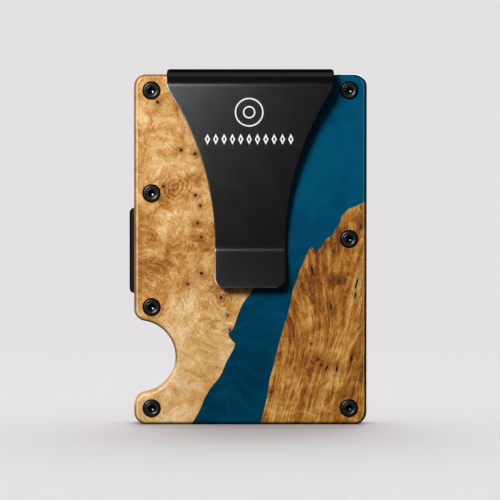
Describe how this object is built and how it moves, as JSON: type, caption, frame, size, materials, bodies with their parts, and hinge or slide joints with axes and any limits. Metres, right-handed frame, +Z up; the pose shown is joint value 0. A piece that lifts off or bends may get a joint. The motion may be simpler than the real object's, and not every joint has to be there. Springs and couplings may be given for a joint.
{
  "type": "money clip",
  "caption": "Slim two-panel card holder with a sprung steel money clip bent over its top edge, elastic retainers and a thumb notch in one side.",
  "frame": {"origin": "centre of the bottom of the whole object's box, where the panels' lower edges stand", "axes": "+Z up the panels towards the clip's bend, -Y out of the front face where the clip is, +Y out of the plain back face, +X towards the open side where cards slide out"},
  "size_m": [0.0584, 0.0132, 0.0873],
  "materials": {
    "burl_light": "oiled golden burl veneer-cut solid, satin",
    "burl_dark": "oiled brown streaky burl, satin",
    "resin_blue": "deep blue cast epoxy with faint pearl swirls, polished",
    "plate_black": "black anodised, satin",
    "screw_black": "black oxide, satin",
    "clip_black": "fine satin black coating on spring steel",
    "elastic_black": "woven black elastic webbing",
    "thread_black": "black polyester thread"
  },
  "bodies": {
    "front_panel": {"front_burl_left": "burl_light", "front_resin_river": "resin_blue", "front_burl_right": "burl_dark", "front_inner_plate": "plate_black", "front_screws": "screw_black", "clip_base": "clip_black", "elastic_loop": "elastic_black", "side_strap": "elastic_black", "side_strap_front_stitching": "thread_black"},
    "back_panel": {"back_burl_left": "burl_light", "back_resin_river": "resin_blue", "back_burl_right": "burl_dark", "back_inner_plate": "plate_black", "back_screws": "screw_black", "elastic_loop_seam": "thread_black", "side_strap_back_stitching": "thread_black"},
    "clip_arm": {"clip_arm": "clip_black"}
  },
  "joints": [
    {"name": "panel_spread", "type": "slide", "parent": "front_panel", "child": "back_panel", "axis": [0, 1, 0], "range_m": [0, 0.009], "stiffness_N_per_m": 700, "springref_m": -0.003, "deforming": ["elastic_loop", "side_strap"]},
    {"name": "clip_flex", "type": "hinge", "parent": "front_panel", "child": "clip_arm", "pos_m": [0.00061, -0.00657, 0.08351], "axis": [-1, 0, 0], "range_deg": [0, 8], "stiffness_Nm_per_rad": 1, "springref_deg": -2.86}
  ]
}
